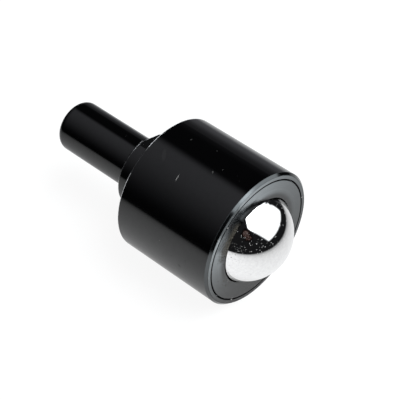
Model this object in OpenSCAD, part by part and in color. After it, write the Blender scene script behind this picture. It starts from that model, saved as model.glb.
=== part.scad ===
// Ball transfer unit with a plain stem, a collar with spanner flats and a round body.
// The load ball stands up out of the body and turns on rows of small support balls.
// The unit's axis is Z. Z is zero on the collar's rear face, which seats on the mounting
// plate, the stem hangs below it and the load ball is at the top.

/* [Load ball] */
// Diameter of the load ball
ball_d = 30; // [28:0.5:34]
// Gap between the load ball and the cap's lip
lip_gap = 0.35; // [0.2:0.05:0.6]

/* [Support balls] */
// Diameter of each small support ball
support_d = 3.2; // [2.8:0.1:3.6]
// Play of a support ball against the load ball, and again against the cup
race_play = 0.15; // [0.05:0.05:0.25]
// Gap between one row of support balls and the next
row_gap = 0.08; // [0.06:0.02:0.2]
// Smallest gap between two support balls of one row
side_gap = 0.03; // [0.02:0.01:0.1]

/* [Load cup] */
// Wall of the hardened cup that the support balls roll in
cup_wall = 1.85; // [1:0.05:3]
// Radial clearance of the cup in the body's pocket
cup_fit = 0.1; // [0.05:0.05:0.3]

/* [Body] */
// Wall of the body round its pocket
rim_wall = 2.05; // [1.8:0.05:5]
// Length of the body, from its rear face to its front face
body_len = 36.4; // [30:0.2:60]
// Chamfer round the front edge of the body
front_chamfer = 0.75; // [0.2:0.05:1.2]
// Edge break round the rear edge of the body
rear_break = 0.3; // [0.1:0.05:1]
// Edge break at the mouth of the pocket and round the cap
mouth_break = 0.15; // [0.05:0.05:0.3]

/* [Collar] */
// Diameter of the collar behind the body
collar_d = 25; // [23:0.5:36]
// Length of the collar
collar_len = 10.5; // [5:0.5:20]
// Width across the two spanner flats
flat_width = 22; // [18:0.5:24]
// Chamfer round the rear edge of the collar
collar_chamfer = 0.8; // [0.2:0.1:1.5]

/* [Stem] */
// Diameter of the stem
stem_d = 17.2; // [12:0.2:17.6]
// Length of the stem below the collar
stem_len = 31.7; // [15:0.1:60]
// Radius that rounds the end of the stem
stem_end_r = 2.7; // [0.5:0.1:5]

/* [Cap] */
// Thickness of the cap at its edge
cap_t = 3.4; // [2.8:0.1:5]
// Radial gap between the cap and the pocket
cap_gap = 0.25; // [0.15:0.05:0.4]
// Thickness of the cap's lip above the felt ring
lip_t = 1.3; // [0.8:0.1:1.4]
// Clearance under the cap for the top row of support balls
top_gap = 0.3; // [0.2:0.05:0.8]

/* [Felt ring] */
// Thickness of the felt ring
felt_t = 1.6; // [1:0.1:2]
// Radial width of the felt ring, from its gap round the load ball outwards
felt_w = 2.3; // [1.5:0.1:2.8]
// Radial clearance of the felt ring in the cap's recess
felt_fit = 0.1; // [0.05:0.05:0.3]
// Gap between the felt ring and the load ball
felt_gap = 0.2; // [0.1:0.05:0.4]

/* [Snap ring] */
// Thickness of the snap ring's wire
wire_d = 1; // [0.8:0.1:1.2]
// Clearance of the wire in its two grooves
groove_fit = 0.1; // [0.05:0.05:0.15]
// Angle left open between the snap ring's ends
ring_opening = 14; // [6:1:40]

/* [Hidden] */
$fn = 96;

// Radii, from the load ball outwards
ball_r = ball_d / 2;
support_r = support_d / 2;
support_path_r = ball_r + race_play + support_r;
race_r = support_path_r + support_r + race_play;
cup_r = race_r + cup_wall;
pocket_r = cup_r + cup_fit;
body_r = pocket_r + rim_wall;
cap_r = pocket_r - cap_gap;
collar_r = collar_d / 2;
stem_r = stem_d / 2;

// Rows of support balls: the first is the single ball at the bottom, and the last lies near the
// load ball's equator
row_count = 9;
row_pitch = 2 * asin((support_d + row_gap) / (2 * support_path_r));
top_row_z = -support_path_r * cos((row_count - 1) * row_pitch);
top_row_rise = max(0, top_row_z);

// Heights on the axis
front_z = collar_len + body_len;
ball_drop = cap_t + top_gap + support_r + top_row_rise;
ball_z = front_z - ball_drop;
cap_rear_z = front_z - cap_t;

// Snap ring, half in the pocket's wall and half in the cap's edge
ring_r = (pocket_r + cap_r) / 2;
ring_z = front_z - cap_t / 2;
wire_r = wire_d / 2;
groove_r = wire_r + groove_fit;

felt_r = ball_r + felt_gap + felt_w;
felt_recess_r = felt_r + felt_fit;
felt_top_z = front_z - lip_t;

// Turned outline of the body, the collar and the stem, radius along x and height along y
module housing_outline() {
    stem_outline();
    polygon([
        [0, 0],
        [collar_r - collar_chamfer, 0],
        [collar_r, collar_chamfer],
        [collar_r, collar_len],
        [body_r - rear_break, collar_len],
        [body_r, collar_len + rear_break],
        [body_r, front_z - front_chamfer],
        [body_r - front_chamfer, front_z],
        [0, front_z]
    ]);
}

module stem_outline() {
    end_face_r = stem_r - stem_end_r;
    translate([0, -stem_len])
        square([end_face_r, stem_len + collar_chamfer]);
    translate([0, stem_end_r - stem_len])
        square([stem_r, stem_len - stem_end_r + collar_chamfer]);
    translate([end_face_r, stem_end_r - stem_len])
        intersection() {
            circle(r = stem_end_r);
            translate([0, -stem_end_r])
                square(stem_end_r);
        }
}

// Half of a cup's outline: round below the ball's centre and straight up to the cap
module cup_outline(r) {
    intersection() {
        circle(r = r);
        translate([0, -r])
            square([r, r]);
    }
    square([r, cap_rear_z - ball_z]);
}

module spanner_flats() {
    for (side = [0, 180])
        rotate([0, 0, side])
            translate([flat_width / 2, -collar_r, -collar_chamfer])
                cube([collar_r, collar_d, collar_len + collar_chamfer]);
}

// Room in the body for the cup and the cap, round at the bottom, with a broken edge at its mouth
module pocket() {
    translate([0, 0, ball_z]) {
        sphere(r = pocket_r);
        cylinder(r = pocket_r, h = ball_drop + mouth_break);
    }
    translate([0, 0, front_z - mouth_break])
        cylinder(r1 = pocket_r, r2 = pocket_r + 2 * mouth_break, h = 2 * mouth_break);
}

module snap_ring_groove() {
    rotate_extrude()
        translate([ring_r, ring_z])
            circle(r = groove_r);
}

// Body, collar and stem, turned from one bar
module housing() {
    color([0.05, 0.05, 0.055])
        difference() {
            rotate_extrude()
                housing_outline();
            spanner_flats();
            pocket();
            snap_ring_groove();
        }
}

// Hardened cup that the support balls roll in
module load_cup() {
    color([0.55, 0.56, 0.58])
        translate([0, 0, ball_z])
            rotate_extrude()
                difference() {
                    cup_outline(cup_r);
                    cup_outline(race_r);
                }
}

// One row of support balls, counted up from the single ball at the bottom of the cup
module support_row(row) {
    tilt = (row - 1) * row_pitch;
    row_r = support_path_r * sin(tilt);
    step = row == 1 ? 360 : 2 * asin((support_d + side_gap) / (2 * row_r));
    count = floor(360 / step);
    for (i = [0 : count - 1])
        rotate([0, 0, (i + row / 2) * 360 / count])
            translate([row_r, 0, ball_z - support_path_r * cos(tilt)])
                color([0.78, 0.79, 0.8])
                    sphere(r = support_r);
}

// Ball that carries the load
module load_ball() {
    color([0.85, 0.86, 0.87])
        translate([0, 0, ball_z])
            sphere(r = ball_r);
}

// Felt ring in the cap's recess, which wipes the load ball
module felt_ring() {
    color([0.24, 0.23, 0.22])
        rotate_extrude()
            difference() {
                translate([0, felt_top_z - felt_t])
                    square([felt_r, felt_t]);
                translate([0, ball_z])
                    circle(r = ball_r + felt_gap);
            }
}

// Cap that closes the body's mouth, keeps the balls in and holds the felt ring under its lip
module retaining_cap() {
    color([0.34, 0.36, 0.37])
        rotate_extrude()
            difference() {
                polygon([
                    [0, cap_rear_z],
                    [cap_r - mouth_break, cap_rear_z],
                    [cap_r, cap_rear_z + mouth_break],
                    [cap_r, front_z - mouth_break],
                    [cap_r - mouth_break, front_z],
                    [0, front_z]
                ]);
                translate([0, ball_z])
                    circle(r = ball_r + lip_gap);
                translate([0, cap_rear_z - lip_t])
                    square([felt_recess_r, cap_t]);
                translate([ring_r, ring_z])
                    circle(r = groove_r);
            }
}

// Open ring of spring wire that locks the cap into the body
module snap_ring() {
    color([0.6, 0.6, 0.62])
        rotate([0, 0, ring_opening / 2])
            rotate_extrude(angle = 360 - ring_opening)
                translate([ring_r, ring_z])
                    circle(r = wire_r);
}

housing();
load_cup();
support_row(1);  // support_balls_row_1
support_row(2);  // support_balls_row_2
support_row(3);  // support_balls_row_3
support_row(4);  // support_balls_row_4
support_row(5);  // support_balls_row_5
support_row(6);  // support_balls_row_6
support_row(7);  // support_balls_row_7
support_row(8);  // support_balls_row_8
support_row(9);  // support_balls_row_9
load_ball();
felt_ring();
retaining_cap();
snap_ring();
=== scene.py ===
"""Looks for the ball transfer unit: a material for every CAD node, the pale table top that the
unit lies on, the studio's light and the camera. Everything is in metres, in the CAD's frame."""
import math

import bpy
from mathutils import Matrix, Vector


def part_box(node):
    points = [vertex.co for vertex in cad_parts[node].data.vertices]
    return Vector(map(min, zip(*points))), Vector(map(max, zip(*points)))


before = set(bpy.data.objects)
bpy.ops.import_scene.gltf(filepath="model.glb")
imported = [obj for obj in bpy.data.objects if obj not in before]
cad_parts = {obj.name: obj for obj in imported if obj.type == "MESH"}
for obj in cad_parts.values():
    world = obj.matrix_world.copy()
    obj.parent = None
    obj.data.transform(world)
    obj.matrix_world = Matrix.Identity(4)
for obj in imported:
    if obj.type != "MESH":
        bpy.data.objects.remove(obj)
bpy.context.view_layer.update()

MM = 0.001

# The unit lies on its side. UP is the table's normal, SIDE runs along the table on the
# camera's side of the unit, and AXIS is the unit's own axis, from the stem to the load ball.
# UP's angle from X turns the spanner flats to where they lie.
UP_AZIMUTH = math.radians(14.76)
UP = Vector((math.cos(UP_AZIMUTH), math.sin(UP_AZIMUTH), 0))
SIDE = Vector((-math.sin(UP_AZIMUTH), math.cos(UP_AZIMUTH), 0))
AXIS = Vector((0, 0, 1))

# Sizes read from the frame
BODY_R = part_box("housing")[1].y
FRONT_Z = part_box("housing")[1].z
CAP_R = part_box("retaining_cap")[1].y
BALL_LOW, BALL_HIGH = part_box("load_ball")
BALL_R = (BALL_HIGH.z - BALL_LOW.z) / 2
BALL_Z = (BALL_HIGH.z + BALL_LOW.z) / 2
# Sizes inside the housing's box, the same as in part.scad: the collar's radius and rear
# chamfer, half the width across its flats, and the height of the body's rear face
COLLAR_R = 12.5 * MM
COLLAR_CHAMFER = 0.8 * MM
FLAT_HALF = 11 * MM
BODY_REAR_Z = 10.5 * MM


def studio_direction(turn, rise):
    """Unit vector at an angle round from SIDE towards AXIS and an angle above the table, in
    degrees."""
    t, e = math.radians(turn), math.radians(rise)
    return (SIDE * math.cos(t) + AXIS * math.sin(t)) * math.cos(e) + UP * math.sin(e)


def outward(angle):
    """Unit vector away from the unit's axis, at an angle in degrees from UP towards SIDE."""
    a = math.radians(angle)
    return UP * math.cos(a) + SIDE * math.sin(a)


def round_axis(angle):
    """Unit vector round the unit's axis, at right angles to outward(angle)."""
    a = math.radians(angle)
    return SIDE * math.cos(a) - UP * math.sin(a)


# ---------------------------------------------------------------- shader node helpers

# Sockets of the Mix node when it mixes colours
MIX_FACTOR, MIX_A, MIX_B, MIX_RESULT = 0, 6, 7, 2


class Nodes:
    """Short calls that add and link the nodes of one node tree."""

    def __init__(self, tree):
        self.tree = tree
        tree.nodes.clear()

    def add(self, kind, **settings):
        node = self.tree.nodes.new(kind)
        for name, value in settings.items():
            setattr(node, name, value)
        return node

    def put(self, socket, value):
        """Links value to the socket if it is a socket itself, and otherwise sets it."""
        if isinstance(value, bpy.types.NodeSocket):
            self.tree.links.new(value, socket)
        else:
            socket.default_value = value

    def math(self, operation, *values, clamp=False):
        node = self.add("ShaderNodeMath", operation=operation, use_clamp=clamp)
        for socket, value in zip(node.inputs, values):
            self.put(socket, value)
        return node.outputs[0]

    def fold(self, operation, values):
        """The operation on all the values, from the first to the last."""
        result = values[0]
        for value in values[1:]:
            result = self.math(operation, result, value)
        return result

    def product(self, *values):
        return self.fold("MULTIPLY", values)

    def total(self, *values):
        return self.fold("ADD", values)

    def largest(self, *values):
        return self.fold("MAXIMUM", values)

    def one_minus(self, value, clamp=False):
        return self.math("SUBTRACT", 1.0, value, clamp=clamp)

    def scaled(self, value, by, plus):
        return self.math("ADD", self.math("MULTIPLY", value, by), plus)

    def distance(self, a, b):
        """Difference of two numbers, without its sign."""
        return self.math("ABSOLUTE", self.math("SUBTRACT", a, b))

    def vector_math(self, operation, *values):
        node = self.add("ShaderNodeVectorMath", operation=operation)
        for socket, value in zip(node.inputs, values):
            self.put(socket, value)
        return node.outputs["Value" if operation in ("DOT_PRODUCT", "LENGTH") else "Vector"]

    def dot(self, vector, direction):
        return self.vector_math("DOT_PRODUCT", vector, direction)

    def ramp(self, value, low, high, out_low=0.0, out_high=1.0):
        """value taken smoothly from low..high to out_low..out_high. low may be the larger."""
        node = self.add("ShaderNodeMapRange", interpolation_type="SMOOTHSTEP")
        for name, v in (("Value", value), ("From Min", low), ("From Max", high),
                        ("To Min", out_low), ("To Max", out_high)):
            self.put(node.inputs[name], v)
        return node.outputs["Result"]

    def mix(self, factor, a, b):
        """Colour a where factor is 0, and b where it is 1."""
        node = self.add("ShaderNodeMix", data_type="RGBA")
        for index, value in ((MIX_FACTOR, factor), (MIX_A, a), (MIX_B, b)):
            self.put(node.inputs[index], value)
        return node.outputs[MIX_RESULT]

    def colour(self, level, tint=None):
        """Colour socket from a number socket: grey, or with a share of it for each channel."""
        node = self.add("ShaderNodeCombineColor")
        for socket, share in zip(node.inputs, tint or (None,) * 3):
            self.put(socket, level if share is None else self.product(level, share))
        return node.outputs[0]

    def shader(self, kind, **inputs):
        """Output of a shader node whose inputs are set or linked by name."""
        node = self.add(kind)
        for name, value in inputs.items():
            self.put(node.inputs[name], value)
        return node.outputs[0]

    def added_shaders(self, *shaders):
        result = shaders[0]
        for shader in shaders[1:]:
            node = self.add("ShaderNodeAddShader")
            self.put(node.inputs[0], result)
            self.put(node.inputs[1], shader)
            result = node.outputs[0]
        return result

    def mixed_shaders(self, factor, a, b):
        node = self.add("ShaderNodeMixShader")
        for socket, value in zip(node.inputs, (factor, a, b)):
            self.put(socket, value)
        return node.outputs[0]


def grey(level):
    return (level, level, level, 1.0)


# ---------------------------------------------------------------- studio

# Corners of the large softbox as the unit sees it, as turn and rise in degrees, and how soft
# its outline is
SOFTBOX_CORNERS = [(54, 80), (54, 50), (98, 7), (167, 6), (179, 42), (190, 75)]
SOFTBOX_EDGE = 0.07
# Level of the softbox round its edges, and of the lamp behind it, which falls off with the angle
SOFTBOX_LEVEL = 1.3
SOFTBOX_TINT = (0.94, 0.975, 1.0, 1.0)
LAMP_LEVEL = 11.0
LAMP_MIDDLE = (112, 63)
LAMP_SPREAD = math.cos(math.radians(34))
LAMP_FALL = 1.3
# A dim panel on the stem's side, brighter towards its top: its two sides, and how soft they are
PANEL_LEVEL = 0.66
PANEL_SIDES = (-112, -22)
PANEL_EDGE = 0.2
# Glow of the far wall, over the table's far edge behind the stem: the cosines of the angle from
# its middle where it starts and is whole, and how fast it fades upwards
GLOW_TURN = -150
GLOW_LEVEL = 0.23
GLOW_ENDS = (0.86, 0.98)
GLOW_DEPTH = 0.22
ROOM_LEVEL = 0.009
ROOM_TINT = (0.97, 0.985, 1.06, 1.0)

# The table top is an oval, lit most in its middle: its middle and half lengths along SIDE and AXIS
OVAL_MIDDLE = (74 * MM, 30 * MM)
OVAL_REACH = (292 * MM, 190 * MM)
OVAL_CORNERS = 96
# Level at which the unit mirrors the table, the table's own whiteness in the studio's light, and
# the share of that light and of the unit's shadow in what the camera sees of it
TABLE_GLOW = 0.62
TABLE_WHITE = 0.25
SHADOW_SHARE = 0.08

# The camera's place as seen from the point that it looks at, that point, and the lens in mm
CAMERA_TURN, CAMERA_RISE = 42.81, 43.85
CAMERA_DISTANCE = 416.94 * MM
CAMERA_AIM = Vector((-2.08, -4.11, 20.49)) * MM
CAMERA_LENS = 121.1
SENSOR_WIDTH = 36
CLIP_NEAR, CLIP_FAR = 0.01, 10


def softbox_mask(n, direction):
    """1 inside the softbox's outline, 0 outside it, with soft edges."""
    corners = [studio_direction(*corner) for corner in SOFTBOX_CORNERS]
    sides = []
    for a, b in zip(corners, corners[1:] + corners[:1]):
        off = n.dot(direction, a.cross(b).normalized())
        sides.append(n.ramp(off, -SOFTBOX_EDGE / 2, SOFTBOX_EDGE / 2))
    return n.product(*sides)


def softbox_light(n, direction):
    nearness = n.dot(direction, studio_direction(*LAMP_MIDDLE))
    share = n.math("DIVIDE", n.math("SUBTRACT", nearness, LAMP_SPREAD), 1 - LAMP_SPREAD)
    lamp = n.math("POWER", n.largest(share, 0.0), LAMP_FALL)
    level = n.scaled(lamp, by=LAMP_LEVEL, plus=SOFTBOX_LEVEL)
    return n.product(softbox_mask(n, direction), level)


def panel_light(n, direction, rise):
    light = n.product(rise, rise, PANEL_LEVEL)
    far, near = (studio_direction(turn, 0) for turn in PANEL_SIDES)
    for normal in (UP.cross(far), near.cross(UP)):
        off = n.dot(direction, normal.normalized())
        light = n.product(light, n.ramp(off, -PANEL_EDGE / 2, PANEL_EDGE / 2))
    return light


def far_glow(n, direction, rise):
    facing = n.ramp(n.dot(direction, studio_direction(GLOW_TURN, 0)), *GLOW_ENDS)
    fade = n.math("EXPONENT", n.math("DIVIDE", n.largest(rise, 0.0), -GLOW_DEPTH))
    return n.product(facing, fade, GLOW_LEVEL)


def make_world():
    """Dark studio with a softbox, a dim panel and a far glow, all above the table. It is white
    where the camera looks past the table."""
    world = bpy.data.worlds.new("studio")
    world.use_nodes = True
    n = Nodes(world.node_tree)
    direction = n.add("ShaderNodeTexCoord").outputs["Generated"]
    rise = n.dot(direction, UP)
    above = n.math("GREATER_THAN", rise, 0.0)
    seen = n.add("ShaderNodeLightPath").outputs["Is Camera Ray"]
    unseen = n.one_minus(seen)
    panel = n.product(panel_light(n, direction, rise), above)
    glow = n.total(far_glow(n, direction, rise), ROOM_LEVEL)
    room = n.product(n.total(panel, glow), unseen)
    softbox = n.product(softbox_light(n, direction), above, unseen)
    light = n.added_shaders(n.shader("ShaderNodeBackground", Color=ROOM_TINT, Strength=room),
                            n.shader("ShaderNodeBackground", Color=SOFTBOX_TINT, Strength=softbox),
                            n.shader("ShaderNodeBackground", Color=grey(1), Strength=seen))
    n.put(n.add("ShaderNodeOutputWorld").inputs["Surface"], light)
    bpy.context.scene.world = world


def oval_level(n, place):
    """1 in the middle of the table top, falling to 0 at its edge."""
    parts = []
    for axis, middle, reach in zip((SIDE, AXIS), OVAL_MIDDLE, OVAL_REACH):
        part = n.math("DIVIDE", n.math("SUBTRACT", n.dot(place, axis), middle), reach)
        parts.append(n.product(part, part))
    return n.one_minus(n.total(*parts), clamp=True)


def table_material():
    """Table top that is white for the camera, with the unit's shadow. What the unit mirrors of
    it fades out towards the edge, and from below it can't be seen."""
    material = bpy.data.materials.new("floor")
    material.use_nodes = True
    n = Nodes(material.node_tree)
    level = oval_level(n, n.add("ShaderNodeTexCoord").outputs["Object"])
    seen = n.add("ShaderNodeLightPath").outputs["Is Camera Ray"]
    unseen = n.one_minus(seen)
    mirrored = n.product(unseen, n.product(level, TABLE_GLOW))
    glow = n.total(n.product(seen, 1.0 - SHADOW_SHARE), mirrored)
    lit = n.mix(seen, n.colour(n.product(level, TABLE_WHITE)), grey(SHADOW_SHARE))
    past = n.colour(n.product(unseen, n.one_minus(level)))
    top = n.added_shaders(n.shader("ShaderNodeBsdfDiffuse", Color=lit),
                          n.shader("ShaderNodeEmission", Color=grey(1), Strength=glow),
                          n.shader("ShaderNodeBsdfTransparent", Color=past))
    from_below = n.add("ShaderNodeNewGeometry").outputs["Backfacing"]
    one_sided = n.mixed_shaders(from_below, top, n.shader("ShaderNodeBsdfTransparent"))
    n.put(n.add("ShaderNodeOutputMaterial").inputs["Surface"], one_sided)
    return material


def make_floor():
    """Oval table top that the body touches, seen only from above."""
    middle = -BODY_R * UP + SIDE * OVAL_MIDDLE[0] + AXIS * OVAL_MIDDLE[1]
    points = []
    for i in range(OVAL_CORNERS):
        a = 2 * math.pi * i / OVAL_CORNERS
        along_side = SIDE * OVAL_REACH[0] * math.cos(a)
        along_axis = AXIS * OVAL_REACH[1] * math.sin(a)
        points.append(middle + along_side + along_axis)
    mesh = bpy.data.meshes.new("floor")
    mesh.from_pydata([tuple(p) for p in points], [], [list(range(OVAL_CORNERS))])
    if mesh.polygons[0].normal.dot(UP) < 0:
        mesh.flip_normals()
    mesh.materials.append(table_material())
    floor = bpy.data.objects.new("floor", mesh)
    bpy.context.scene.collection.objects.link(floor)


def make_camera():
    """Camera above the table and to the load ball's side, level with the table."""
    back = studio_direction(CAMERA_TURN, CAMERA_RISE)
    right = UP.cross(back).normalized()
    turned = Matrix((right, back.cross(right), back)).transposed().to_4x4()
    data = bpy.data.cameras.new("camera")
    data.lens = CAMERA_LENS
    data.sensor_width = SENSOR_WIDTH
    data.clip_start, data.clip_end = CLIP_NEAR, CLIP_FAR
    camera = bpy.data.objects.new("camera", data)
    camera.matrix_world = Matrix.Translation(CAMERA_AIM + back * CAMERA_DISTANCE) @ turned
    bpy.context.scene.collection.objects.link(camera)
    bpy.context.scene.camera = camera


# ---------------------------------------------------------------- surface helpers

# Size of the smallest speck against the largest, and the share of a speck's and of a mark's
# radius where it starts to fade
SMALLEST_SPECK = 0.4
SPECK_CORE = 0.7
MARK_CORE = 0.6
# Share of its reach within which a patch on the load ball is whole, and the shares of a
# sector's half width where it ends and where it is whole
PATCH_CORE = 0.3
SECTOR_REACH, SECTOR_CORE = 1.3, 0.8


def axis_radius(n, place):
    """Distance from the unit's axis."""
    return n.vector_math("LENGTH", n.vector_math("MULTIPLY", place, (1.0, 1.0, 0.0)))


def turned_to(n, place, radius, angle):
    """Cosine of the angle round the axis between a place and outward(angle)."""
    return n.math("DIVIDE", n.dot(place, outward(angle)), n.largest(radius, MM))


def sector_ends(half):
    """Cosines of the angles where a sector that is half as wide starts, and where it is whole."""
    return [math.cos(math.radians(half * share)) for share in (SECTOR_REACH, SECTOR_CORE)]


def noise(n, place, size, detail=2.0, rough=0.5, stretch=(1, 1, 1)):
    """Smooth noise about 0..1 whose lumps are size across."""
    node = n.add("ShaderNodeTexNoise")
    n.put(node.inputs["Vector"], n.vector_math("MULTIPLY", place, stretch))
    for name, value in (("Scale", 1 / size), ("Detail", detail), ("Roughness", rough)):
        node.inputs[name].default_value = value
    return node.outputs["Fac"]


def rings(n, along, size, detail=3.0):
    """Noise that changes only with the number along, as turning marks do."""
    node = n.add("ShaderNodeTexNoise", noise_dimensions="1D")
    n.put(node.inputs["W"], along)
    node.inputs["Scale"].default_value = 1 / size
    node.inputs["Detail"].default_value = detail
    return node.outputs["Fac"]


def specks(n, place, spacing, largest, share):
    """Scattered round specks: a share of the cells of a Voronoi pattern hold one. largest is
    the radius of the largest."""
    node = n.add("ShaderNodeTexVoronoi")
    n.put(node.inputs["Vector"], place)
    node.inputs["Scale"].default_value = 1 / spacing
    lot = n.add("ShaderNodeSeparateColor")
    n.put(lot.inputs[0], node.outputs["Color"])
    chosen = n.math("GREATER_THAN", share, lot.outputs[0])
    size = n.scaled(lot.outputs[1], by=1 - SMALLEST_SPECK, plus=SMALLEST_SPECK)
    size = n.product(size, largest / spacing)
    near = n.ramp(n.math("DIVIDE", node.outputs["Distance"], size), 1.0, SPECK_CORE)
    return n.product(near, chosen)


def mark(n, place, centre, along, normal, length, width):
    """1 inside an oval spot on the surface, with soft edges."""
    along = (along - normal * along.dot(normal)).normalized()
    axes = Matrix((along, normal.cross(along), normal)).transposed()
    node = n.add("ShaderNodeMapping", vector_type="TEXTURE")
    n.put(node.inputs["Vector"], place)
    node.inputs["Location"].default_value = centre
    node.inputs["Rotation"].default_value = axes.to_euler()
    node.inputs["Scale"].default_value = (length / 2, width / 2, width / 2)
    return n.ramp(n.vector_math("LENGTH", node.outputs[0]), 1.0, MARK_CORE)


def side_marks(n, place, spots, radius):
    """Spots on a round side. Each is its angle, its height, length and width in mm, its tilt
    out of the direction round the axis, and its strength."""
    marks = []
    for angle, height, length, width, tilt, strength in spots:
        t = math.radians(tilt)
        along = round_axis(angle) * math.cos(t) + AXIS * math.sin(t)
        centre = outward(angle) * radius + AXIS * (height * MM)
        spot = mark(n, place, centre, along, outward(angle), length * MM, width * MM)
        marks.append(n.product(spot, strength))
    return n.largest(*marks)


def face_marks(n, place, spots):
    """Spots on the front face. Each is its angle, its radius, length and width in mm, its tilt
    out of the direction away from the axis, and its strength."""
    marks = []
    for angle, radius, length, width, tilt, strength in spots:
        t = math.radians(tilt)
        along = outward(angle) * math.cos(t) + round_axis(angle) * math.sin(t)
        centre = outward(angle) * (radius * MM) + AXIS * FRONT_Z
        spot = mark(n, place, centre, along, AXIS, length * MM, width * MM)
        marks.append(n.product(spot, strength))
    return n.largest(*marks)


def roughened(n, place, amount, size):
    """place moved about a little, so that the edges of spots are uneven."""
    node = n.add("ShaderNodeTexNoise")
    n.put(node.inputs["Vector"], place)
    node.inputs["Scale"].default_value = 1 / size
    shift = n.vector_math("SUBTRACT", node.outputs["Color"], (0.5, 0.5, 0.5))
    return n.vector_math("ADD", place, n.vector_math("MULTIPLY", shift, (amount,) * 3))


def bump(n, height, depth):
    node = n.add("ShaderNodeBump")
    node.inputs["Strength"].default_value = 1.0
    node.inputs["Distance"].default_value = depth
    n.put(node.inputs["Height"], height)
    return node.outputs[0]


def turned_tangent(n):
    """Tangent that runs round the unit's axis, as the lathe's grooves do."""
    return n.add("ShaderNodeTangent", direction_type="RADIAL", axis="Z").outputs[0]


def surface(name, constants, make):
    """Material with one Principled shader. constants go on its own sockets, and make(n, place)
    returns the sockets that nodes feed. place is in object coordinates, which are the CAD's and
    turn with their body."""
    material = bpy.data.materials.new(name)
    material.use_nodes = True
    n = Nodes(material.node_tree)
    shader = n.add("ShaderNodeBsdfPrincipled")
    for socket, value in constants.items():
        shader.inputs[socket].default_value = value
    place = n.add("ShaderNodeTexCoord").outputs["Object"]
    for socket, value in make(n, place).items():
        n.put(shader.inputs[socket], value)
    n.put(n.add("ShaderNodeOutputMaterial").inputs["Surface"], shader.outputs[0])
    return material


# ---------------------------------------------------------------- black finish

STEEL_TINT = (0.90, 1.0, 1.05)
BLACK = (0.0006, 0.0006, 0.0007, 1.0)
DUST = (0.34, 0.33, 0.32, 1.0)
# Bright steel of the worn rear edges, which also paints their highlight
WORN_STEEL_HIGHLIGHT = (0.85, 0.85, 0.87, 1.0)
GRIME = (0.065, 0.060, 0.050, 1.0)

# Dark ring at the joint between the cap and the body: its middle and half width, how soft its
# edges are, and the heights between which it fades in
JOINT_R = CAP_R + 0.13 * MM
JOINT_HALF = 0.28 * MM
JOINT_SOFT = 0.25
JOINT_FLOOR = (FRONT_Z - 2 * MM, FRONT_Z - MM)
# Line where the front face meets its chamfer: its radius, the distances from it where it starts
# and is whole, and its strength
FACE_EDGE_R = BODY_R - 0.77 * MM
EDGE_LINE = (0.11 * MM, 0.05 * MM)
EDGE_STRENGTH = 0.6
# Heights between which the face itself starts, and those for the face with its chamfer
FRONT_STARTS = (FRONT_Z - 0.06 * MM, FRONT_Z - 0.02 * MM)
CHAMFER_STARTS = (FRONT_Z - 0.85 * MM, FRONT_Z - 0.7 * MM)
# Painted sheen: sides of the front face where its steel colour is made brighter, standing in for
# the turned face's highlights: the angle, how narrow the side is, and the share of steel there
PAINTED_SHEEN_SIDES = ((38, 5.0, 0.28), (-10, 1.5, 0.165))
# Painted shade on the front face beside the load ball, which takes away its steel and its gloss:
# the angle of its middle, its half width in degrees, its outer radius and its strength, and how
# soft its outer edge is
BALL_SHADE_PATCHES = ((27, 20, BALL_R + 2.75 * MM, 0.8),
                (38, 13, BODY_R, 0.62),
                (52, 13, CAP_R - 0.3 * MM, 0.55))
BALL_SHADE_SOFT = 0.35 * MM

# Grime lies on this side of the front face: the cosines of the angle from its middle, and the
# radii, where it starts and is whole, and the levels of the noise that makes its grains
GRIMY_SIDE = 56
GRIME_ENDS = (0.88, 0.99)
GRIME_STARTS = (BALL_R + 4.0 * MM, BALL_R + 0.8 * MM)
GRIME_GRAINS = (0.36, 0.52)
# Dust at the joint on the same side, in the same way
RIM_ENDS = (0.7, 0.95)
RIM_STARTS = (JOINT_R - 0.6 * MM, JOINT_R - 0.2 * MM)
# Specks of dust: spacing, radius of the largest, and share of the cells that hold one
LOOSE_SPECKS = (2.6 * MM, 0.11 * MM, 0.25)
FACE_SPECKS = (1.5 * MM, 0.13 * MM, 0.3)
GRIME_SPECKS = (0.6 * MM, 0.16 * MM, 0.7)
RIM_SPECKS = (0.6 * MM, 0.15 * MM, 0.55)
LOOSE_STRENGTH = 0.4
FACE_STRENGTH = 0.7
# How uneven the edges of small marks are: how far they move, and the size of the noise
UNEVEN = (0.25 * MM, 0.4 * MM)
# Share of the clear coat that is lost under a dark mark, and under dust or grime
DARK_LOSS, MATT_LOSS = 0.9, 0.8

# Dust and scratches on the body's side, and dark marks on it, as side_marks takes them
BODY_SPOTS = [
    (30.3, 25.2, 3.0, 0.22, 6, 0.55),
    (11.8, 33.0, 1.3, 0.5, 40, 0.1),
    (5.8, 34.8, 0.6, 0.4, 0, 0.08),
    (-3.0, 19.1, 1.0, 0.5, 0, 0.06),
    (-7.0, 28.0, 0.35, 0.3, 0, 0.12),
    (81.1, 28.0, 0.3, 0.3, 0, 0.7),
    (21.0, 16.7, 5.0, 1.5, 35, 0.012),
]
DARK_SPOTS = [
    (93.1, 36.2, 1.6, 0.35, 60, 1.0),
    (88.0, 33.0, 0.5, 0.4, 0, 0.8),
    (84.0, 38.5, 0.4, 0.4, 0, 0.8),
]
# Dust in the joint, dots of grime and a thread of lint on the front face, as face_marks takes them
JOINT_SPOTS = [
    (41.9, 20.2, 0.9, 0.35, 0, 1.0),
    (84.6, 20.3, 0.8, 0.3, 20, 1.0),
    (147.5, 20.3, 0.9, 1.1, 0, 0.9),
    (-80.7, 20.7, 1.0, 0.35, 0, 1.0),
]
GRIME_SPOTS = [
    (112.0, 16.0, 0.9, 0.6, 0, 0.9),
    (116.0, 16.9, 0.6, 0.5, 0, 0.8),
    (122.0, 16.4, 1.2, 0.4, 60, 0.7),
    (104.0, 17.9, 0.5, 0.4, 0, 0.7),
]
LINT = [(119.0, 14.6, 2.6, 0.14, 35, 0.9)]
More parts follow.
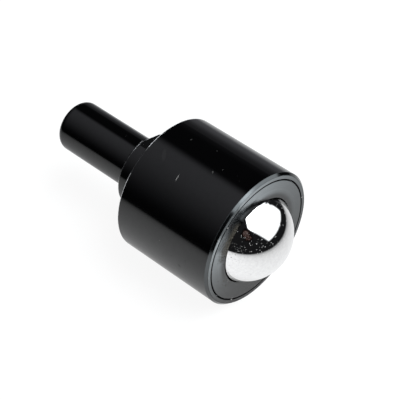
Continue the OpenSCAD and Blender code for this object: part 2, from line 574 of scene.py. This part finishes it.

# Rear edges painted as bright worn steel, which also stands in for the highlights along them:
# each is a height, a radius, a width and a strength, and then the middle and half width of the
# stretch that is hardly worn, as angles in degrees
WORN_EDGE_HIGHLIGHTS = [
    (BODY_REAR_Z + 0.12 * MM, BODY_R - 0.12 * MM, 0.34 * MM, 1.0, 35, 11),
    (COLLAR_CHAMFER, COLLAR_R - 0.02 * MM, 0.2 * MM, 0.4, 50, 25),
    (0.0, COLLAR_R - COLLAR_CHAMFER, 0.2 * MM, 0.2, 50, 25),
]
# Share of its width where an edge is whole, its level in the hardly worn stretch, the noise's
# levels between which it breaks, its level in the breaks, and how metallic it is
WORN_CORE = 0.6
HARDLY_WORN = 0.05
WORN_BREAKS = (0.35, 0.55)
BREAK_LEVEL = 0.25
WORN_METAL = 0.4
# The flats' rear edges, painted bright in the same way: how strongly, the distances from the edge
# where that starts and is whole, and the heights over which it ends
FLAT_EDGE_HIGHLIGHT = 0.25
FLAT_WIDTHS = (0.2 * MM, 0.1 * MM)
FLAT_TOP = (1.5 * MM, MM)


def painted_sheen(n, place, radius):
    """Painted sheen: how bright the steel of the front face is, brighter on the given sides as the
    turned face's highlights. It is darker close to the load ball as painted shade, less on the
    chamfer, and uneven in fine rings."""
    sides = []
    for angle, sharpness, most in PAINTED_SHEEN_SIDES:
        facing = n.product(n.total(turned_to(n, place, radius, angle), 1.0), 0.5)
        sides.append(n.product(n.math("POWER", facing, sharpness), most))
    # Painted shade: the steel is darker close to the load ball
    painted_shade_by_ball = n.ramp(radius, BALL_R, BALL_R + 2 * MM, out_low=0.1)
    by_chamfer = n.ramp(radius, FACE_EDGE_R, FACE_EDGE_R + 0.1 * MM, out_low=1.0, out_high=0.35)
    streaks = n.scaled(rings(n, radius, size=0.5 * MM), by=0.3, plus=0.85)
    return n.product(n.total(*sides), painted_shade_by_ball, by_chamfer, streaks)


def painted_ball_shade(n, place, radius):
    """How much painted shade beside the load ball darkens the front face, taking away its steel and
    gloss.
    """
    patches = []
    for angle, half, outer, strength in BALL_SHADE_PATCHES:
        side = n.ramp(turned_to(n, place, radius, angle), *sector_ends(half), out_high=strength)
        near = n.ramp(radius, outer + BALL_SHADE_SOFT, outer - BALL_SHADE_SOFT)
        patches.append(n.product(near, side))
    return n.largest(*patches)


def face_grime(n, place, uneven, radius):
    """Brown-grey grime in grains beside the load ball, and a few dots of it."""
    ragged = roughened(n, place, amount=3 * MM, size=1.6 * MM)
    side = n.ramp(turned_to(n, ragged, radius, GRIMY_SIDE), *GRIME_ENDS)
    inner = n.ramp(axis_radius(n, ragged), *GRIME_STARTS)
    grains = n.ramp(noise(n, place, size=0.4 * MM, detail=4.0, rough=0.7), *GRIME_GRAINS)
    return n.largest(n.product(side, inner, grains), face_marks(n, uneven, GRIME_SPOTS))


def dust_and_lint(n, place, uneven, radius, front, grime, joint):
    """Specks of dust, most of them on the front face and in its grime, and lint."""
    on_face = n.product(specks(n, place, *FACE_SPECKS), front)
    in_grime = n.product(specks(n, place, *GRIME_SPECKS), grime)
    loose = n.product(specks(n, place, *LOOSE_SPECKS), LOOSE_STRENGTH)
    dust = n.largest(n.product(n.largest(on_face, in_grime), FACE_STRENGTH), loose)
    dust = n.product(dust, n.one_minus(joint))
    grimy = n.ramp(turned_to(n, place, radius, GRIMY_SIDE), *RIM_ENDS)
    at_rim = n.product(grimy, front, n.ramp(radius, *RIM_STARTS))
    rim_dust = n.product(specks(n, place, *RIM_SPECKS), at_rim)
    lint = n.largest(face_marks(n, uneven, JOINT_SPOTS), face_marks(n, uneven, LINT))
    return n.largest(dust, rim_dust, lint)


def joint_ring(n, radius, height):
    """1 in the joint round the cap, near the front face."""
    off = n.distance(radius, JOINT_R)
    ring = n.ramp(off, JOINT_HALF * (1 + JOINT_SOFT), JOINT_HALF * (1 - JOINT_SOFT))
    return n.product(ring, n.ramp(height, *JOINT_FLOOR))


def edge_line(n, radius, height):
    """Dark line where the front face meets its chamfer."""
    line = n.ramp(n.distance(radius, FACE_EDGE_R), *EDGE_LINE)
    return n.product(line, n.ramp(height, FRONT_Z - MM, FRONT_Z, out_high=EDGE_STRENGTH))


def worn_edge_highlights(n, place, radius, height):
    """Bright worn steel along the rear edges, which also paints their highlight, broken here and
    there.
    """
    edges = []
    for edge_z, edge_r, width, strength, middle, half in WORN_EDGE_HIGHLIGHTS:
        off_z, off_r = n.math("SUBTRACT", height, edge_z), n.math("SUBTRACT", radius, edge_r)
        off = n.math("SQRT", n.total(n.product(off_z, off_z), n.product(off_r, off_r)))
        away = turned_to(n, place, radius, middle)
        rubbed = n.ramp(away, *sector_ends(half), out_low=strength, out_high=HARDLY_WORN)
        edges.append(n.product(n.ramp(off, width, width * WORN_CORE), rubbed))
    edges.append(n.product(flat_edges(n, place, radius, height), FLAT_EDGE_HIGHLIGHT))
    uneven = noise(n, place, size=1.6 * MM, detail=4.0, rough=0.6)
    return n.product(n.largest(*edges), n.ramp(uneven, *WORN_BREAKS, out_low=BREAK_LEVEL))


def flat_edges(n, place, radius, height):
    """1 along the rear edges of the two spanner flats, where they cut the collar's chamfer."""
    across = n.math("ABSOLUTE", n.dot(place, (1.0, 0.0, 0.0)))
    edge_z = n.largest(n.math("SUBTRACT", radius, COLLAR_R - COLLAR_CHAMFER), 0.0)
    by_flat = n.ramp(n.distance(across, FLAT_HALF), *FLAT_WIDTHS)
    by_chamfer = n.ramp(n.math("SUBTRACT", height, edge_z), *FLAT_WIDTHS)
    return n.product(by_flat, by_chamfer, n.ramp(height, *FLAT_TOP))


def gloss_coat(n, waves, unshaded, dark, matt):
    """Weight of the clear coat: a little uneven, and less under the painted shade beside the load
    ball, dark marks and dirt.
    """
    even = n.product(n.scaled(waves, by=0.16, plus=0.9), unshaded)
    unmarked = n.product(even, n.one_minus(n.product(dark, DARK_LOSS)))
    clean = n.one_minus(n.product(matt, MATT_LOSS))
    return n.math("MULTIPLY", unmarked, clean, clamp=True)


def black_nodes(on_housing):
    """Nodes of the gloss black finish, with a painted sheen and painted shade on the front face.
    The housing also has marks on its side, and worn rear edges painted bright as their highlights.
    """
    def make(n, place):
        radius, height = axis_radius(n, place), n.dot(place, AXIS)
        uneven = roughened(n, place, *UNEVEN)
        front = n.ramp(height, *FRONT_STARTS)
        joint = joint_ring(n, radius, height)
        grime = n.product(face_grime(n, place, uneven, radius), front)
        dust = dust_and_lint(n, place, uneven, radius, front, grime, joint)
        dark = n.largest(edge_line(n, radius, height), joint)
        if on_housing:
            dust = n.largest(dust, side_marks(n, uneven, BODY_SPOTS, BODY_R))
            dark = n.largest(dark, side_marks(n, uneven, DARK_SPOTS, BODY_R))
        dark = n.product(dark, n.one_minus(dust))
        matt = n.largest(dust, grime)
        # Painted shade beside the load ball takes away the face's steel and gloss
        unshaded = n.one_minus(n.product(painted_ball_shade(n, place, radius), front))
        metal = n.product(n.ramp(height, *CHAMFER_STARTS), n.one_minus(n.largest(matt, dark)))
        # The face's steel colour carries the painted sheen and the painted shade by the load ball
        steel = n.colour(n.product(painted_sheen(n, place, radius), unshaded), STEEL_TINT)
        colour = n.mix(metal, BLACK, steel)
        if on_housing:
            # Painted highlight along the rear edges, as bright worn steel
            worn = worn_edge_highlights(n, place, radius, height)
            colour = n.mix(worn, colour, WORN_STEEL_HIGHLIGHT)
            metal = n.largest(metal, n.product(worn, WORN_METAL))
        colour = n.mix(dust, n.mix(grime, colour, GRIME), DUST)
        waves = noise(n, place, size=1.5 * MM, detail=3.0)
        grooves = rings(n, n.total(radius, height), size=0.25 * MM)
        relief = bump(n, n.total(grooves, dust), depth=0.004 * MM)
        return {
            "Base Color": colour,
            "Metallic": metal,
            "Roughness": n.scaled(waves, by=0.06, plus=0.10),
            "Coat Weight": gloss_coat(n, waves, unshaded, dark, matt),
            "Normal": relief,
            "Coat Normal": relief,
            "Tangent": turned_tangent(n),
        }
    return make


def black_finish(name, coat_roughness, on_housing):
    constants = {
        "Specular IOR Level": 0.0,
        "Specular Tint": grey(0.5),
        "Anisotropic": 0.4,
        "Anisotropic Rotation": 0.25,
        "Coat Roughness": coat_roughness,
    }
    return surface(name, constants, black_nodes(on_housing))


# ---------------------------------------------------------------- steel and felt

# Patches on the load ball of dust, dark dirt and brown stain: the angle round the axis and the
# angle from the axis of its middle, in degrees, and its reach
BALL_DUST = [(43, 45, 7.0 * MM), (62, 54, 6.0 * MM), (-32, 54, 3.5 * MM), (20, 30, 4.0 * MM),
             (78, 52, 5.0 * MM)]
BALL_DIRT = (67, 56, 4.0 * MM)
BALL_STAIN = [(38, 59.5, 1.9 * MM), (41, 55.0, 1.5 * MM)]
# Share of the cells that hold a speck where a patch of dust is whole, and in between
DUSTY_SHARE = 0.75
SPARSE_SHARE = 0.4
# How far the stain's outline is smeared, and the size of the noise that does it, and how
# strong the stain is at most
SMEARED = (1.2 * MM, 0.9 * MM)
STAIN_STRENGTH = 0.85
# Strengths of the stain between which it takes its colour, and loses the polish
STAIN_COLOURS = (0.0, 0.4)
STAIN_DULLS = (0.3, 0.9)
# Roughness of dust and stain, and height of the scratches against the dust
MATT_ROUGHNESS = 0.6
SCRATCH_HEIGHT = 0.15
BALL_TONES = ((0.84, 0.83, 0.83, 1.0), (0.92, 0.915, 0.91, 1.0))
BALL_DUST_COLOUR = (0.52, 0.51, 0.50, 1.0)
BALL_DIRT_COLOUR = (0.10, 0.09, 0.08, 1.0)
BALL_STAIN_COLOUR = (0.050, 0.026, 0.021, 1.0)


def ball_patches(n, place, patches):
    """1 at the middle of each patch on the load ball, fading to 0 at its reach."""
    fades = []
    for angle, polar, reach in patches:
        p = math.radians(polar)
        normal = outward(angle) * math.sin(p) + AXIS * math.cos(p)
        off = n.vector_math("SUBTRACT", place, AXIS * BALL_Z + normal * BALL_R)
        fades.append(n.ramp(n.vector_math("LENGTH", off), reach, reach * PATCH_CORE))
    return n.largest(*fades)


def ball_stain(n, place):
    """How strong the uneven brown stain is."""
    patches = ball_patches(n, roughened(n, place, *SMEARED), BALL_STAIN)
    blotches = noise(n, place, size=0.35 * MM, detail=5.0, rough=0.7)
    return n.product(patches, n.ramp(blotches, 0.1, 0.7, out_high=STAIN_STRENGTH))


def polished_steel():
    """Mirror polish of the load ball, with hairline scratches, dust and a small brown stain."""
    def make(n, place):
        uneven = roughened(n, place, *UNEVEN)
        dusty = n.product(ball_patches(n, uneven, BALL_DUST), DUSTY_SHARE)
        dust = n.largest(specks(n, place, spacing=0.6 * MM, largest=0.14 * MM, share=dusty),
                         specks(n, uneven, spacing=1.1 * MM, largest=0.15 * MM, share=SPARSE_SHARE))
        dirty = ball_patches(n, uneven, [BALL_DIRT])
        dirt = specks(n, uneven, spacing=0.5 * MM, largest=0.14 * MM, share=dirty)
        stain = ball_stain(n, place)
        mottled = n.ramp(noise(n, place, size=0.8 * MM, detail=6.0, rough=0.7), 0.3, 0.7)
        colour = n.mix(mottled, *BALL_TONES)
        colour = n.mix(n.ramp(stain, *STAIN_COLOURS), colour, BALL_STAIN_COLOUR)
        colour = n.mix(dust, colour, BALL_DUST_COLOUR)
        colour = n.mix(dirt, colour, BALL_DIRT_COLOUR)
        scratched = noise(n, place, size=0.5 * MM, detail=6.0, rough=0.75, stretch=(1.0, 0.12, 0.6))
        matt = n.largest(dust, dirt, n.ramp(stain, *STAIN_DULLS))
        polish = n.scaled(scratched, by=0.05, plus=0.015)
        relief = n.total(n.product(scratched, SCRATCH_HEIGHT), dust)
        return {
            "Base Color": colour,
            "Metallic": n.one_minus(matt),
            "Roughness": n.largest(polish, n.product(matt, MATT_ROUGHNESS)),
            "Normal": bump(n, relief, depth=0.004 * MM),
        }
    return surface("polished_steel", {}, make)


def rolling_steel():
    """Ground and lapped steel of the small support balls."""
    def make(n, place):
        worn = noise(n, place, size=0.6 * MM, detail=5.0, rough=0.7)
        return {
            "Base Color": n.mix(worn, (0.72, 0.73, 0.75, 1.0), (0.80, 0.80, 0.79, 1.0)),
            "Roughness": n.scaled(worn, by=0.12, plus=0.05),
            "Normal": bump(n, worn, depth=0.002 * MM),
        }
    return surface("rolling_steel", {"Metallic": 1.0}, make)


def ground_steel():
    """Hardened cup: fine rings from grinding, and a warm temper tint that comes and goes."""
    def make(n, place):
        along = n.total(axis_radius(n, place), n.dot(place, AXIS))
        lines = rings(n, along, size=0.12 * MM, detail=4.0)
        temper = noise(n, place, size=9 * MM, detail=3.0)
        return {
            "Base Color": n.mix(temper, (0.50, 0.51, 0.54, 1.0), (0.58, 0.55, 0.50, 1.0)),
            "Roughness": n.scaled(lines, by=0.25, plus=0.18),
            "Normal": bump(n, lines, depth=0.006 * MM),
            "Tangent": turned_tangent(n),
        }
    constants = {"Metallic": 1.0, "Anisotropic": 0.6, "Anisotropic Rotation": 0.25}
    return surface("ground_steel", constants, make)


def spring_steel():
    """Drawn wire of the snap ring, blued by its heat treatment and scuffed."""
    def make(n, place):
        along = n.total(n.dot(place, AXIS), n.product(axis_radius(n, place), 0.7))
        drawn = rings(n, along, size=0.08 * MM, detail=4.0)
        scuffed = n.ramp(noise(n, place, size=0.9 * MM, detail=5.0, rough=0.7), 0.5, 0.7)
        return {
            "Base Color": n.mix(scuffed, (0.24, 0.25, 0.29, 1.0), (0.58, 0.57, 0.56, 1.0)),
            "Roughness": n.scaled(drawn, by=0.25, plus=0.2),
            "Normal": bump(n, drawn, depth=0.006 * MM),
        }
    return surface("spring_steel", {"Metallic": 1.0}, make)


def felt():
    """Pressed wool felt: tangled fibres with grey and dark ones mixed."""
    def make(n, place):
        fibres = noise(n, place, size=0.22 * MM, detail=8.0, rough=0.8, stretch=(1.0, 1.0, 2.2))
        crossed = noise(n, place, size=0.16 * MM, detail=6.0, rough=0.8, stretch=(2.0, 0.8, 1.0))
        tangle = n.product(n.total(fibres, crossed), 0.5)
        clumps = noise(n, place, size=1.6 * MM, detail=3.0)
        light = n.ramp(n.total(n.product(tangle, 0.7), n.product(clumps, 0.3)), 0.3, 0.7)
        return {
            "Base Color": n.mix(light, (0.022, 0.021, 0.020, 1.0), (0.115, 0.110, 0.103, 1.0)),
            "Roughness": n.scaled(tangle, by=0.15, plus=0.85),
            "Normal": bump(n, tangle, depth=0.12 * MM),
        }
    return surface("felt", {"Sheen Weight": 0.3, "Sheen Roughness": 0.6}, make)


# ---------------------------------------------------------------- the scene

SUPPORT_ROWS = 9


def dress(material, *nodes):
    for node in nodes:
        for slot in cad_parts[node].material_slots:
            slot.material = material


make_world()
make_floor()
make_camera()

dress(black_finish("black_finish", coat_roughness=0.10, on_housing=True), "housing")
dress(black_finish("cap_finish", coat_roughness=0.05, on_housing=False), "retaining_cap")
dress(polished_steel(), "load_ball")
dress(rolling_steel(), *[f"support_balls_row_{row + 1}" for row in range(SUPPORT_ROWS)])
dress(ground_steel(), "load_cup")
dress(felt(), "felt_ring")
dress(spring_steel(), "snap_ring")

bpy.context.scene.view_settings.view_transform = "Standard"
